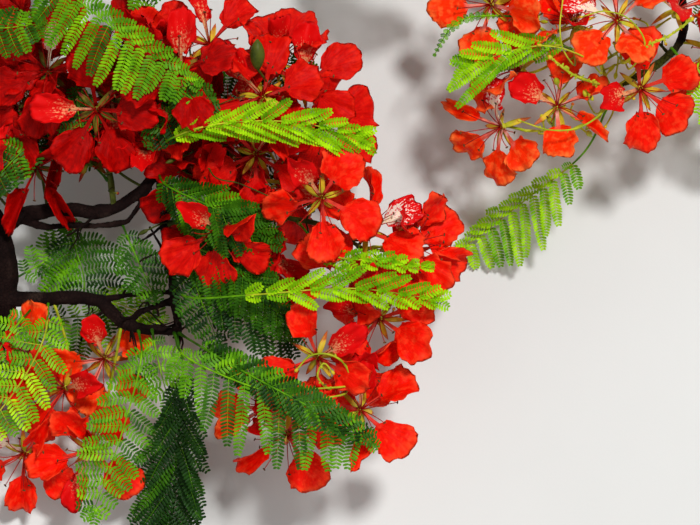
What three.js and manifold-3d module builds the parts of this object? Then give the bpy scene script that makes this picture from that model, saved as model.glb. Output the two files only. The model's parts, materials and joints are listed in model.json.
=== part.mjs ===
// A flowering branch cut from a flame tree and laid down, with the side that was seen turned up.
// Millimetres. Seen from above, x runs right and y runs up the picture; z is the height over the ground.
// Places are measured from under the middle of the cut end, and the last lines move the origin.

import * as THREE from "three";
import { mergeGeometries, mergeVertices } from "three/addons/utils/BufferGeometryUtils.js";
import Module from "manifold-3d";

const wasm = await Module();
wasm.setup();

const { degToRad, lerp } = THREE.MathUtils;

// Driving dimensions
const PETAL_LENGTH = 68; // a petal from the calyx to its far edge
const CLAW_LENGTH = 25; // the narrow foot of a petal
const CLAW_HALF_WIDTH = 2.2;
const BLADE_HALF_WIDTH = 21;
const UPPER_BLADE_HALF_WIDTH = 15; // the streaked upper petal is the narrowest
const BLADE_TIP_SHARE = 0.52; // of the blade's width, at its far edge
const PETAL_HALF_THICKNESS = 2;
const PETAL_OPENING = degToRad(72); // between a petal and the way its bloom faces
const UPPER_PETAL_OPENING = degToRad(56);
const CALYX_RADIUS = 4.5;
const CALYX_HALF_HEIGHT = 2.5;
const PEDICEL_RADIUS = 1.8;
const PEDICEL_STEPS = 2;
const PEDICEL_BOW = 0.45; // how far the pedicel swings behind the bloom, as a share of its length
const RACHIS_HALF_WIDTH = 1.8;
const FROND_HALF_THICKNESS = 2.2;
const FROND_PROFILE = [[0, 0.42], [0.25, 0.9], [0.6, 1], [1, 0.45]]; // place on the blade, share of the ribs
const FROND_TIP = 0.5; // the last ribs reach past the stalk by this share of their length
const GAP = 0.3; // kept between a piece and what carries it
const LEAF_CLEARANCE = 2; // gaps kept over and under a leaf, as its blade is twisted
const BOUGH_SIDES = 8;
const TWIG_SIDES = 5;
const SPACE = 3000; // wider than the whole branch

const BARK = { color: 0x2a1a14, roughness: 0.9, metalness: 0 };
const GREEN_WOOD = { color: 0x8c9a3a, roughness: 0.7, metalness: 0 };
const PETAL = { color: 0xd81408, roughness: 0.55, metalness: 0 };
const LEAF = { color: 0x4f8f1e, roughness: 0.6, metalness: 0 };

// Woody limbs: each point of a path is x, y, z and the limb's radius there. Side twigs grow from the path.
const BOUGHS = [
  {
    name: "main_bough",
    path: [[0, -12, 19.5, 20], [0, 28, 20, 20], [9, 70, 29, 19], [25, 115, 43, 17.5], [36, 154, 56, 16.5],
      [34, 200, 67, 15], [24, 238, 76, 13.5]],
  },
  {
    name: "lower_limb",
    path: [[42, 152, 60, 9.5], [62, 150, 66, 8], [100, 151, 78, 7], [138, 150, 87, 7.5], [160, 126, 92, 6.8],
      [190, 119, 95, 5.2], [216, 117, 97, 4]],
  },
  {
    name: "upper_limb",
    path: [[38, 222, 73, 9], [54, 233, 80, 8], [86, 241, 92, 7.5], [130, 238, 102, 7], [160, 247, 109, 6],
      [189, 270, 117, 5.5], [201, 298, 124, 6.5]],
    twigs: [
      [[57, 230, 80, 4.5], [84, 224, 88, 3.6], [132, 224, 96, 3.2], [166, 230, 104, 2.8],
        [189, 262, 115, 2.6]],
    ],
  },
  {
    name: "twig_tangle",
    path: [[216, 117, 97, 4.5], [213, 150, 99, 5], [208, 190, 103, 4.5], [202, 232, 110, 4],
      [198, 268, 117, 3.5]],
    twigs: [
      [[141, 152, 88, 3.4], [170, 156, 93, 2.8], [212, 157, 99, 2.4]],
      [[165, 124, 93, 4], [179, 138, 96, 3.6], [213, 150, 99, 3]],
    ],
  },
  {
    name: "overhead_bough_left",
    path: [[24, 236, 75.5, 12.5], [0, 308, 88, 12], [-8, 388, 95, 11.2], [24, 458, 98, 10.4]],
  },
  {
    name: "overhead_bough_middle",
    path: [[22, 455, 98, 9.8], [70, 490, 99, 9.4], [180, 520, 99, 8.8], [290, 528, 97, 8.2],
      [400, 522, 96, 7.6]],
  },
  {
    name: "overhead_bough_right",
    path: [[397, 522, 96, 7.2], [500, 522, 95, 6.8], [620, 514, 95, 6.2], [690, 500, 97, 5.8],
      [718, 474, 100, 5.4]],
  },
  {
    name: "right_twig",
    path: [[717, 476, 100, 5], [726, 446, 103, 4.8], [723, 411, 108, 4.6], [705, 391, 112, 4.2],
      [662, 366, 115, 3.2]],
  },
];

// Green flower stalks, written in the same way, with fewer sides
const RACEMES = [
  {
    name: "right_racemes",
    path: [[665, 367, 115, 2.6], [652, 362, 115, 2.8], [623, 373, 120, 2.4], [596, 390, 124, 1.8]],
    twigs: [
      [[651, 363, 115, 2.8], [640, 391, 122, 2.4], [606, 405, 128, 2], [566, 434, 134, 1.7]],
      [[641, 388, 121, 2.2], [674, 409, 128, 2], [712, 433, 132, 1.6]],
      [[653, 363, 115, 2.6], [641, 334, 113, 2.3], [612, 319, 114, 2], [566, 320, 118, 1.7]],
    ],
  },
  {
    name: "crown_raceme_left",
    path: [[152, 246, 108, 3.4], [146, 290, 112, 3], [128, 332, 118, 2.6], [98, 360, 124, 2]],
  },
  {
    name: "crown_raceme_top",
    path: [[201, 294, 124, 3.6], [205, 330, 128, 3.2], [216, 364, 132, 2.6], [240, 394, 136, 2]],
  },
  {
    name: "crown_raceme_right",
    path: [[202, 292, 124, 3.4], [240, 306, 127, 3], [286, 326, 130, 2.4], [326, 348, 134, 2]],
  },
  {
    name: "long_raceme",
    path: [[203, 226, 108, 3.8], [250, 230, 114, 3.4], [310, 236, 122, 3], [364, 226, 128, 2.7],
      [404, 200, 130, 2.4]],
  },
  {
    name: "hanging_raceme",
    path: [[402, 202, 130, 2.2], [414, 160, 128, 2.1], [406, 108, 124, 1.9], [382, 62, 118, 1.7],
      [350, 34, 112, 1.5]],
  },
];

// Leaves: the path of the stalk, the share of it that is bare, and to each side of it the length of the
// ribs and how far in degrees they lean to its tip
const LEAVES = [
  {
    name: "leaf_top_left",
    path: [[62, 487, 100], [92, 470, 198], [150, 424, 228], [232, 368, 214]],
    bare: 0.34, left: [26, 50], right: [66, 22],
  },
  {
    name: "leaf_top_corner",
    path: [[10, 438, 98], [14, 430, 160], [40, 420, 196], [78, 424, 184]],
    bare: 0.4, left: [22, 30], right: [34, 16],
  },
  {
    name: "leaf_top_tip",
    path: [[150, 514, 99], [160, 500, 130], [176, 470, 136], [184, 448, 120]],
    bare: 0.3, left: [26, 50], right: [26, 50],
  },
  {
    name: "leaf_upper_right",
    path: [[200, 298, 124], [212, 310, 196], [260, 324, 226], [330, 326, 230], [396, 314, 214]],
    bare: 0.34, left: [22, 52], right: [30, 50],
  },
  {
    name: "leaf_under_knot",
    path: [[196, 280, 120], [208, 264, 168], [250, 244, 192], [298, 222, 186]],
    bare: 0.25, left: [30, 40], right: [44, 25],
  },
  {
    name: "leaf_between_limbs",
    path: [[120, 151, 80], [119, 172, 56], [112, 196, 50], [108, 214, 46]],
    bare: 0.2, left: [52, 5], right: [50, 5],
  },
  {
    name: "leaf_below_limb",
    path: [[146, 141, 88], [132, 134, 44], [94, 130, 28], [58, 122, 18]],
    bare: 0.2, left: [52, 12], right: [14, 30],
  },
  {
    name: "leaf_bright_right",
    path: [[212, 160, 99], [236, 152, 170], [300, 156, 208], [390, 162, 214], [470, 152, 196]],
    bare: 0.36, left: [32, 42], right: [22, 46],
  },
  {
    name: "leaf_dark_diagonal",
    path: [[207, 196, 104], [226, 204, 144], [272, 184, 166], [330, 124, 162]],
    bare: 0.25, left: [26, 40], right: [34, 30],
  },
  {
    name: "leaf_lower_right",
    path: [[212, 117, 97], [226, 94, 168], [284, 68, 208], [352, 46, 204], [408, 10, 182]],
    bare: 0.22, left: [24, 46], right: [72, 20],
  },
  {
    name: "leaf_drooping_dark",
    path: [[214, 117, 97], [222, 70, 112], [214, -10, 66], [206, -84, 3]],
    bare: 0.2, left: [38, 36], right: [46, 36],
  },
  {
    name: "leaf_lower_left",
    path: [[176, 121, 94], [180, 88, 132], [160, 14, 122], [132, -60, 88]],
    bare: 0.18, left: [34, 24], right: [40, 24],
  },
  {
    name: "leaf_left_low",
    path: [[84, 150, 73], [82, 112, 116], [58, 66, 114], [22, 20, 96]],
    bare: 0.2, left: [40, 26], right: [34, 26],
  },
  {
    name: "leaf_left_edge",
    path: [[0, 320, 89], [-26, 300, 96], [-60, 240, 56], [-74, 170, 2]],
    bare: 0.2, left: [46, 24], right: [40, 24],
  },
  {
    name: "leaf_over_middle",
    path: [[290, 528, 97], [310, 545, 110], [380, 566, 70], [450, 572, 2]],
    bare: 0.15, left: [40, 30], right: [34, 34],
  },
  {
    name: "leaf_over_right",
    path: [[560, 519, 95], [580, 534, 104], [640, 552, 60], [712, 556, 2]],
    bare: 0.15, left: [40, 30], right: [34, 34],
  },
  {
    name: "right_leaf_hanging",
    path: [[652, 350, 114], [626, 298, 90], [570, 252, 42], [508, 204, 3]],
    bare: 0.34, left: [58, 26], right: [16, 40],
  },
  {
    name: "right_leaf_top",
    path: [[612, 402, 127], [596, 404, 168], [560, 400, 186], [512, 386, 174]],
    bare: 0.25, left: [40, 56], right: [22, 56],
  },
];

// Blooms: the raceme or limb that carries it, the calyx, the way the bloom faces as its bearing and its rise
// over the ground, and the bearings of its five petals as seen from above, the upper petal first, in degrees
const BLOOMS = [
  {
    name: "bloom_right_tail", on: "right_racemes",
    calyx: [543, 324, 126], faces: [190, 55], petals: [110, 155, 206, 262, 318],
  },
  {
    name: "bloom_right_middle", on: "right_racemes",
    calyx: [597, 343, 140], faces: [60, 70], petals: [150, 80, 22, 328, 275],
  },
  {
    name: "bloom_right_far", on: "right_racemes",
    calyx: [532, 446, 140], faces: [200, 65], petals: [110, 185, 255, 345, 50],
  },
  {
    name: "bloom_right_top", on: "right_racemes",
    calyx: [657, 428, 168], faces: [120, 70], petals: [160, 100, 42, 225, 300],
  },
  {
    name: "bloom_right_pair", on: "right_twig",
    calyx: [680, 362, 146], faces: [300, 70], petals: [200, 272, 324, 20, 95],
  },
  {
    name: "bloom_right_edge", on: "right_twig",
    calyx: [752, 404, 116], faces: [320, 65], petals: [100, 235, 288, 340, 35],
  },
  {
    name: "bloom_right_above", on: "overhead_bough_right",
    calyx: [586, 476, 107], faces: [100, 75], petals: [80, 140, 215, 290, 15],
  },
  {
    name: "bloom_main_upright", on: "long_raceme",
    calyx: [406, 218, 166], faces: [70, 65], petals: [28, 82, 138, 200, 340],
  },
  {
    name: "bloom_main_disc", on: "long_raceme",
    calyx: [362, 252, 204], faces: [250, 75], petals: [125, 55, 192, 276, 332],
  },
  {
    name: "bloom_main_right", on: "long_raceme",
    calyx: [446, 196, 132], faces: [0, 74], petals: [95, 35, 342, 290, 215],
  },
  {
    name: "bloom_main_centre", on: "hanging_raceme",
    calyx: [420, 132, 152], faces: [200, 76], petals: [172, 228, 326, 20, 95],
  },
  {
    name: "bloom_main_low", on: "hanging_raceme",
    calyx: [400, 40, 142], faces: [20, 76], petals: [88, 30, 318, 262, 165],
  },
  {
    name: "bloom_main_loops", on: "hanging_raceme",
    calyx: [358, 94, 178], faces: [240, 78], petals: [30, 110, 205, 270, 330],
  },
  {
    name: "bloom_main_bottom", on: "hanging_raceme",
    calyx: [327, 16, 120], faces: [250, 70], petals: [122, 60, 0, 298, 216],
  },
  {
    name: "bloom_top_open", on: "crown_raceme_right",
    calyx: [342, 366, 146], faces: [60, 75], petals: [84, 30, 325, 245, 150],
  },
  {
    name: "bloom_top_upright", on: "crown_raceme_right",
    calyx: [303, 352, 174], faces: [100, 75], petals: [130, 78, 20, 200, 290],
  },
  {
    name: "bloom_top_flag", on: "crown_raceme_top",
    calyx: [250, 404, 156], faces: [90, 72], petals: [105, 50, 165, 240, 330],
  },
  {
    name: "bloom_top_hood", on: "crown_raceme_top",
    calyx: [222, 376, 188], faces: [110, 76], petals: [88, 140, 205, 290, 20],
  },
  {
    name: "bloom_top_middle", on: "crown_raceme_right",
    calyx: [268, 334, 137], faces: [80, 80], petals: [56, 115, 180, 245, 340],
  },
  {
    name: "bloom_middle_right", on: "crown_raceme_right",
    calyx: [296, 296, 149], faces: [300, 78], petals: [60, 330, 270, 205, 135],
  },
  {
    name: "bloom_middle_low", on: "long_raceme",
    calyx: [262, 218, 120], faces: [280, 78], petals: [30, 100, 195, 268, 335],
  },
  {
    name: "bloom_left_standard", on: "crown_raceme_left",
    calyx: [88, 378, 150], faces: [110, 80], petals: [84, 140, 200, 262, 20],
  },
  {
    name: "bloom_left_crown", on: "crown_raceme_left",
    calyx: [138, 340, 176], faces: [270, 80], petals: [180, 240, 295, 355, 100],
  },
  {
    name: "bloom_left_high", on: "crown_raceme_left",
    calyx: [56, 340, 122], faces: [170, 76], petals: [100, 160, 215, 275, 20],
  },
  {
    name: "bloom_left_low", on: "upper_limb",
    calyx: [74, 284, 102], faces: [230, 76], petals: [130, 190, 245, 300, 30],
  },
  {
    name: "bloom_low_left", on: "main_bough",
    calyx: [58, -6, 44], faces: [250, 65], petals: [150, 205, 266, 325, 50],
  },
  {
    name: "bloom_low_middle", on: "lower_limb",
    calyx: [126, -3, 66], faces: [240, 68], petals: [252, 196, 120, 50, 320],
  },
  {
    name: "bloom_below_limb", on: "lower_limb",
    calyx: [140, 90, 52], faces: [230, 76], petals: [110, 190, 245, 320, 30],
  },
];

const point = ([x, y, z]) => new THREE.Vector3(x, y, z);

// The unit way of a bearing and a rise
function heading(bearing, rise) {
  const level = Math.cos(rise);
  return new THREE.Vector3(level * Math.cos(bearing), level * Math.sin(bearing), Math.sin(rise));
}

// A skin over rings of as many points each, which run anticlockwise as seen from the last ring
function loft(rings, closedStart = true) {
  const count = rings[0].length;
  const faces = [];
  for (let ring = 0; ring < rings.length - 1; ring += 1) {
    for (let corner = 0; corner < count; corner += 1) {
      const a = ring * count + corner;
      const b = ring * count + ((corner + 1) % count);
      faces.push(a, b, b + count, a, b + count, a + count);
    }
  }
  const last = (rings.length - 1) * count;
  for (let corner = 1; corner < count - 1; corner += 1) {
    faces.push(last, last + corner, last + corner + 1);
    if (closedStart) {
      faces.push(0, corner + 1, corner);
    }
  }
  return new THREE.BufferGeometry().setFromPoints(rings.flat()).setIndex(faces);
}

// The solid inside a closed skin, without the faces that a sharp edge leaves flat
function solidOf(geometry) {
  geometry.deleteAttribute("normal");
  geometry.deleteAttribute("uv");
  const merged = mergeVertices(geometry);
  const corners = merged.index.array;
  const faces = [];
  for (let start = 0; start < corners.length; start += 3) {
    const [a, b, c] = corners.slice(start, start + 3);
    if (a !== b && b !== c && c !== a) {
      faces.push(a, b, c);
    }
  }
  return new wasm.Manifold(
    new wasm.Mesh({
      numProp: 3,
      vertProperties: new Float32Array(merged.attributes.position.array),
      triVerts: new Uint32Array(faces),
    }),
  );
}

function geometryOf(solid) {
  const { vertProperties, triVerts } = solid.getMesh();
  const geometry = new THREE.BufferGeometry();
  geometry.setAttribute("position", new THREE.Float32BufferAttribute(vertProperties, 3));
  geometry.setIndex(new THREE.Uint32BufferAttribute(triVerts, 1));
  geometry.computeVertexNormals();
  return geometry;
}

// Rings round a smooth path, with the radius changing evenly from point to point
function tubeRings(path, steps, sides, firstSide, extra) {
  const curve = new THREE.CatmullRomCurve3(path.map(point));
  const spans = path.length - 1;
  const rings = [];
  let side = firstSide;
  for (let step = 0; step <= steps; step += 1) {
    const t = step / steps;
    const along = curve.getTangent(t);
    side = side.clone().addScaledVector(along, -side.dot(along)).normalize();
    const across = new THREE.Vector3().crossVectors(along, side);
    const before = Math.min(Math.floor(t * spans), spans - 1);
    const radius = lerp(path[before][3], path[before + 1][3], t * spans - before) + extra;
    const centre = curve.getPoint(t);
    if (step === 0) {
      centre.addScaledVector(along, -extra);
    }
    if (step === steps) {
      centre.addScaledVector(along, extra);
    }
    const ring = [];
    for (let corner = 0; corner < sides; corner += 1) {
      const turn = (2 * Math.PI * corner) / sides;
      const rim = centre.clone().addScaledVector(side, radius * Math.cos(turn));
      ring.push(rim.addScaledVector(across, radius * Math.sin(turn)));
    }
    rings.push(ring);
  }
  return rings;
}

// A limb with the side twigs that grow from it. A thick one has more sides, and two rings to each point.
function limbSolid({ path, twigs = [] }, thick, extra) {
  const up = new THREE.Vector3(0, 0, 1);
  const tube = (points, sides, ringsPerSpan) =>
    solidOf(loft(tubeRings(points, (points.length - 1) * ringsPerSpan, sides, up, extra)));
  const main = thick ? tube(path, BOUGH_SIDES, 2) : tube(path, TWIG_SIDES, 1);
  return twigs.reduce((whole, twig) => whole.add(tube(twig, TWIG_SIDES, 1)), main);
}

// A leaf: a thin blade of the outline that its ribs reach, on a bare stalk
function leafSolid({ path, bare, left, right }, extra) {
  const curve = new THREE.CatmullRomCurve3(path.map(point));
  const half = FROND_HALF_THICKNESS + LEAF_CLEARANCE * extra;
  const up = new THREE.Vector3(0, 0, 1);
  const ring = (t, leftReach, rightReach, ahead = 0) => {
    const along = curve.getTangentAt(t).setZ(0).normalize();
    const aside = new THREE.Vector3().crossVectors(up, along);
    const middle = curve.getPointAt(t).addScaledVector(along, ahead);
    const end = (reach, lean, sign) => {
      const width = reach * Math.cos(degToRad(lean)) + RACHIS_HALF_WIDTH + extra;
      const ribEnd = middle.clone().addScaledVector(along, reach * Math.sin(degToRad(lean)));
      return ribEnd.addScaledVector(aside, sign * width);
    };
    const top = middle.clone().addScaledVector(up, half);
    const bottom = middle.clone().addScaledVector(up, -half);
    return [end(leftReach, left[1], 1), top, end(rightReach, right[1], -1), bottom];
  };
  const stalk = [0, 0.5, 0.98].map((share) => ring(share * bare, 0, 0));
  const blade = FROND_PROFILE.map(([place, share]) =>
    ring(lerp(bare, 1, place), left[0] * share, right[0] * share));
  const tip = ring(1, 0, 0, FROND_TIP * Math.min(left[0], right[0]));
  return solidOf(loft([...stalk, ...blade, tip]));
}

// The rise of a petal with this bearing that stands open by this angle from the way its bloom faces
function petalRise(bearing, opening, facingBearing, facingRise) {
  const level = Math.cos(facingRise) * Math.cos(bearing - facingBearing);
  const upright = Math.sin(facingRise);
  const share = Math.cos(opening) / Math.hypot(level, upright);
  return Math.asin(Math.min(share, 1)) - Math.atan2(level, upright);
}

// The place on a limb's paths that lies nearest to a point
function footOn(name, target) {
  const { path: main, twigs = [] } = [...BOUGHS, ...RACEMES].find((limb) => limb.name === name);
  const places = [main, ...twigs].flatMap((path) => {
    const curve = new THREE.CatmullRomCurve3(path.map(point));
    return curve.getSpacedPoints(path.length * 10).slice(1, -1);
  });
  return places.reduce((best, place) => (place.distanceTo(target) < best.distanceTo(target) ? place : best));
}

// A bloom: five petals round the hub of its calyx, which a bowed pedicel carries
function bloomSolid({ calyx, faces, petals, on }, extra) {
  const centre = point(calyx);
  const [facingBearing, facingRise] = faces.map(degToRad);
  const facing = heading(facingBearing, facingRise);
  const sideways = heading(facingBearing + Math.PI / 2, 0);
  const headways = new THREE.Vector3().crossVectors(facing, sideways);

  const ordered = petals
    .map((degrees, index) => {
      const bearing = degToRad(degrees);
      const opening = index === 0 ? UPPER_PETAL_OPENING : PETAL_OPENING;
      const halfWidth = index === 0 ? UPPER_BLADE_HALF_WIDTH : BLADE_HALF_WIDTH;
      const way = heading(bearing, petalRise(bearing, opening, facingBearing, facingRise));
      return { way, halfWidth, turn: Math.atan2(way.dot(headways), way.dot(sideways)) };
    })
    .sort((one, other) => one.turn - other.turn);

  // Corners of the hub, each halfway between a petal and the next one round
  const corner = (index, height) => {
    const here = ordered[index].turn;
    const next = ordered[(index + 1) % ordered.length].turn;
    const turn = (here + (next > here ? next : next + 2 * Math.PI)) / 2;
    return centre
      .clone()
      .addScaledVector(sideways, (CALYX_RADIUS + extra) * Math.cos(turn))
      .addScaledVector(headways, (CALYX_RADIUS + extra) * Math.sin(turn))
      .addScaledVector(facing, height);
  };
  const upper = ordered.map((petal, index) => corner(index, CALYX_HALF_HEIGHT + extra));
  const lower = ordered.map((petal, index) => corner(index, -CALYX_HALF_HEIGHT - extra));

  const bladeMiddle = lerp(CLAW_LENGTH, PETAL_LENGTH, 0.6);
  const petalSkins = ordered.map(({ way, halfWidth }, index) => {
    const before = (index + ordered.length - 1) % ordered.length;
    const across = new THREE.Vector3().crossVectors(facing, way).normalize();
    const upward = new THREE.Vector3().crossVectors(way, across);
    const ring = (reach, width, thickness) => {
      const middle = centre.clone().addScaledVector(way, reach);
      return [[1, 1], [-1, 1], [-1, -1], [1, -1]].map(([aside, above]) =>
        middle
          .clone()
          .addScaledVector(across, aside * (width + extra))
          .addScaledVector(upward, above * (thickness + extra)),
      );
    };
    return loft([
      [upper[index], upper[before], lower[before], lower[index]],
      ring(CLAW_LENGTH, CLAW_HALF_WIDTH, PETAL_HALF_THICKNESS),
      ring(bladeMiddle, halfWidth, PETAL_HALF_THICKNESS),
      ring(PETAL_LENGTH + extra, halfWidth * BLADE_TIP_SHARE, 0),
    ], false);
  });

  const foot = footOn(on, centre);
  const back = centre.clone().addScaledVector(facing, -PEDICEL_BOW * centre.distanceTo(foot));
  const pedicel = new THREE.QuadraticBezierCurve3(centre, back, foot);
  const pedicelPath = pedicel.getPoints(PEDICEL_STEPS).map((p) => [p.x, p.y, p.z, PEDICEL_RADIUS]);
  const firstSide = lower[lower.length - 1].clone().sub(centre);
  const pedicelRings = tubeRings(pedicelPath, PEDICEL_STEPS, ordered.length, firstSide, extra);
  const stalkSkin = loft([[...lower].reverse(), ...pedicelRings.slice(1)], false);

  const topSkin = new THREE.BufferGeometry().setFromPoints(upper).setIndex([0, 1, 2, 0, 2, 3, 0, 3, 4]);
  return solidOf(mergeGeometries([...petalSkins, stalkSkin, topSkin]));
}

function halfSpace(x, y, z) {
  return solidOf(new THREE.BoxGeometry(SPACE, SPACE, SPACE).translate(x, y, z));
}

function largestPiece(solid) {
  return solid.decompose().reduce((best, piece) => (piece.volume() > best.volume() ? piece : best));
}

// The saw cut looks down the y axis, and the ground is at z = 0
const behindTheCut = halfSpace(0, -SPACE / 2, 0);
const underTheGround = halfSpace(0, 0, -SPACE / 2);

const branch = new THREE.Group();
let taken = underTheGround;

// Adds a piece, cut back by the gap from each one that is there already
function addPiece(name, finish, shape) {
  const solid = largestPiece(shape(0).subtract(taken));
  const mesh = new THREE.Mesh(geometryOf(solid), new THREE.MeshStandardMaterial(finish));
  mesh.name = name;
  branch.add(mesh);
  taken = taken.add(shape(GAP));
}

for (const bough of BOUGHS) {
  addPiece(bough.name, BARK, (extra) => limbSolid(bough, true, extra).subtract(behindTheCut));
}
for (const raceme of RACEMES) {
  addPiece(raceme.name, GREEN_WOOD, (extra) => limbSolid(raceme, false, extra));
}
for (const leaf of LEAVES) {
  addPiece(leaf.name, LEAF, (extra) => leafSolid(leaf, extra));
}
// From the highest down, so that each pedicel stays whole and passes the petals under it
for (const bloom of [...BLOOMS].sort((one, other) => other.calyx[2] - one.calyx[2])) {
  addPiece(bloom.name, PETAL, (extra) => bloomSolid(bloom, extra));
}

// The origin goes to the ground, under the middle of the whole branch
const box = new THREE.Box3().setFromObject(branch);
const middle = box.getCenter(new THREE.Vector3());
branch.position.set(-middle.x, -middle.y, -box.min.z);

export default branch;
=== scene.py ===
import json
import math
import zlib

import bmesh
import bpy
import numpy as np
from mathutils import Matrix, Vector, noise
from mathutils.bvhtree import BVHTree


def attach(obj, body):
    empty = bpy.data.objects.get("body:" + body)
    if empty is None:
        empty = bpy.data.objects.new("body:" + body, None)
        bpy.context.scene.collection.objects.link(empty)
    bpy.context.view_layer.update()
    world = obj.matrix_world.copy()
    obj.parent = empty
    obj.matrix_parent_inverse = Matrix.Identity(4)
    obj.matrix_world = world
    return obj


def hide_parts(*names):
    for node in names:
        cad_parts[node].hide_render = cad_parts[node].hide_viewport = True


# A flowering branch cut from a flame tree, lying on a pale floor.
# Places are written in millimetres from under the middle of the sawn end, as seen from above:
# x runs right, y runs up the picture and z is the height over the floor.

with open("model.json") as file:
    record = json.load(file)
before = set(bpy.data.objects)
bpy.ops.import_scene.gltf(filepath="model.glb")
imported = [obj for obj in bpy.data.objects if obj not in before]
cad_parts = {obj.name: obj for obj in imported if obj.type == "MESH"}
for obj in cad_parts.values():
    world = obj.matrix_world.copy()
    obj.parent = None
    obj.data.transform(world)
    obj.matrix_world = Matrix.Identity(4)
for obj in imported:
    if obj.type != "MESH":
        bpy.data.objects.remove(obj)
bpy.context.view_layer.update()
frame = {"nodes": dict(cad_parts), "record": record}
MOUNTS = {mount["name"]: mount for mount in frame["record"]["mounts"]}
SAWN_END = np.array(MOUNTS["cut_end"]["pos_m"])
ORIGIN = SAWN_END * [1, 1, 0]
MM = 0.001
UP = np.array([0, 0, 1.0])
TINY = 1e-12  # added where a vector may be zero

# Driving dimensions, in millimetres
PETAL_LENGTH = 70
PETAL_THICKNESS = 0.6
CLAW_LENGTH = 24
CLAW_HALF_WIDTH = 1.6
BLADE_HALF_WIDTH = 23
UPPER_BLADE_HALF_WIDTH = 17
FOLD_RADIUS = 4  # of the crease in a folded petal
RUFFLE_HEIGHT = 3.2  # of a petal's margin
SEPAL_LENGTH = 25
SEPAL_HALF_WIDTH = 3
SEPAL_THICKNESS = 0.9
CUP = ((-7, 1.7), (-3, 3.6), (0, 4.2), (2, 2.2))  # places along the calyx, with its radius there
STAMEN_LENGTH = 42
STAMEN_RADII = (0.65, 0.42)
ANTHER = ((-1.7, 0.35), (-0.9, 0.8), (0.9, 0.8), (1.7, 0.35))  # places along it, with its radius there
PEDICEL_RADIUS = 1.3
LEAFLET_LENGTH = 8.4
LEAFLET_WIDTH = 2.7
LEAFLET_STEP = 4
SHORT_RIB = 16  # the leaflets of a shorter rib are smaller
RIB_RADII = (0.55, 0.2)
LEAF_STALK_RADII = (1.25, 0.5)
LEAF_FOOT_RADII = (2.1, 2.2, 1.8, 1.4)
ROOT_LENGTH = 12
TWIG_LENGTHS = (12, 52)
TWIG_RADII = (1.1, 2)
LOOSE_STALK_LENGTHS = (14, 42)
KNOBBED_RADIUS = 1.5  # thicker open stalks carry knobs all along, where flowers stood
LIMB_SKIN = (1.45, 4, 2.5, 1.6, 0.9)  # voxel, rounds of smoothing, and heights of sway, knobs and cracks
STALK_SKIN = (0.8, 14, 1.5, 0.9, 0.3)
FLOOR_CLEARANCE = 0.4
FLOOR_DROP = 0.5
FLOOR_FLAT = 20000  # radius of the flat part
FLOOR_RADIUS = 44000
FLOOR_RIM = 3000  # how high it rises at its edge
PICTURE_WIDTH = 700
PICTURE_MIDDLE = (390, 187.5, 150)  # what the camera looks at
CAMERA_HEIGHT = 5000  # over what it looks at

# Shares, counts and angles
SIZES = {"crimson": 1.0, "cherry": 0.98, "scarlet": 0.96, "orange": 0.9}  # shares of a petal's full size, by red: scarlet is the petal's own red, the two darker reds are copies with painted shade and the lightest red is partly painted sunlight
PETAL_OPENING = math.radians(72)
UPPER_PETAL_OPENING = math.radians(56)
FOLDED_SHARE = 0.14  # of the petals, folded up along their middle
CRUMPLE = 0.042  # height of a petal's crumples as a share of their length
MARGIN_TEETH = 0.045  # how uneven a petal's margin is, as a share of its blade
MARGIN_TURN = 0.92 * math.pi  # from a blade's tip round to its claw
CLAW_SHARE = 0.3  # of a petal's first value, up to where its blade starts
CLAW_ROWS = 3
BLADE_ROWS = 10
PETAL_COLUMNS = 33
MARK_SPREAD = 1.1  # how far apart the upper petal's marks lie
STAMENS = 10
PEDICEL_BOW = 0.45  # how far a bloom's stalk bows out, as a share of its span
FROND_PLACES = (0, 0.25, 0.6, 1)  # along the leafy part
FROND_REACHES = (0.42, 0.9, 1, 0.45)  # of the ribs there, as shares of the longest
FROND_TIP = 0.5  # the last ribs' share of the shorter side's
LEAFLET_LEAN = 0.42  # how far leaflets lean to the tip of their rib, for each unit outwards
SPRAY_ODDS = (0.6, 0.24, 0.16)  # that a rib's leaflets have the leaf's own green, a darker or a lighter one: the next copies with more painted shade and with more painted sunlight
SPRIG_ARCH = ((0, 0), (0.3, 1), (0.68, 0.9), (1, 0))  # place on a sprig, share of its arch's height
RIB_STEPS = 7
TWIG_STEPS = 6
BUD_SHARE = 0.45  # of the loose stalks
END_BULGE = 0.4  # of a tube's radius
FLOOR_RINGS = 12
FLOOR_SIDES = 97
SWAY_SCALE = 22  # waves for each metre, as the next two
KNOB_SCALE = 75
CRACK_SCALE = 260
SKY_STRENGTH = 0.36
LIGHTS = {  # the way to each, its strength, and how many degrees across it looks
    "key_light": ((0.24, 0.4, 1), 2.5, 8),
    "fill_light": ((-0.8, -0.3, 0.7), 0.4, 40),
}


# Where limbs, twigs and stalks stand

TWIGS = {  # how many grow on each bough
    "main_bough": 3, "lower_limb": 4, "upper_limb": 5, "twig_tangle": 20, "overhead_bough_left": 4,
    "overhead_bough_middle": 4, "overhead_bough_right": 4, "right_twig": 3,
}
BOUGHS = list(TWIGS)
CROWN_RACEMES = ["crown_raceme_left", "crown_raceme_top", "crown_raceme_right", "long_raceme"]
SUNLIT_RACEMES = ["right_racemes", "hanging_raceme"]
ROOTS = {  # where each raceme starts inside what carries it, where it heads, and its radius
    "right_racemes": ((665, 367, 115), (652, 362, 115), 2.6),
    "crown_raceme_left": ((152, 246, 108), (146, 290, 112), 3.4),
    "crown_raceme_top": ((201, 294, 124), (205, 330, 128), 3.6),
    "crown_raceme_right": ((202, 292, 124), (240, 306, 127), 3.4),
    "long_raceme": ((203, 226, 108), (250, 230, 114), 3.8),
    "hanging_raceme": ((402, 202, 130), (414, 160, 128), 2.2),
}
YOUNG_WOOD = (664, 367, 120)  # where the wood is still green
LOOSE_STALKS = {  # how many grow on each raceme
    "right_racemes": 40, "crown_raceme_left": 14, "crown_raceme_top": 14, "crown_raceme_right": 18,
    "long_raceme": 22, "hanging_raceme": 20,
}
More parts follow.
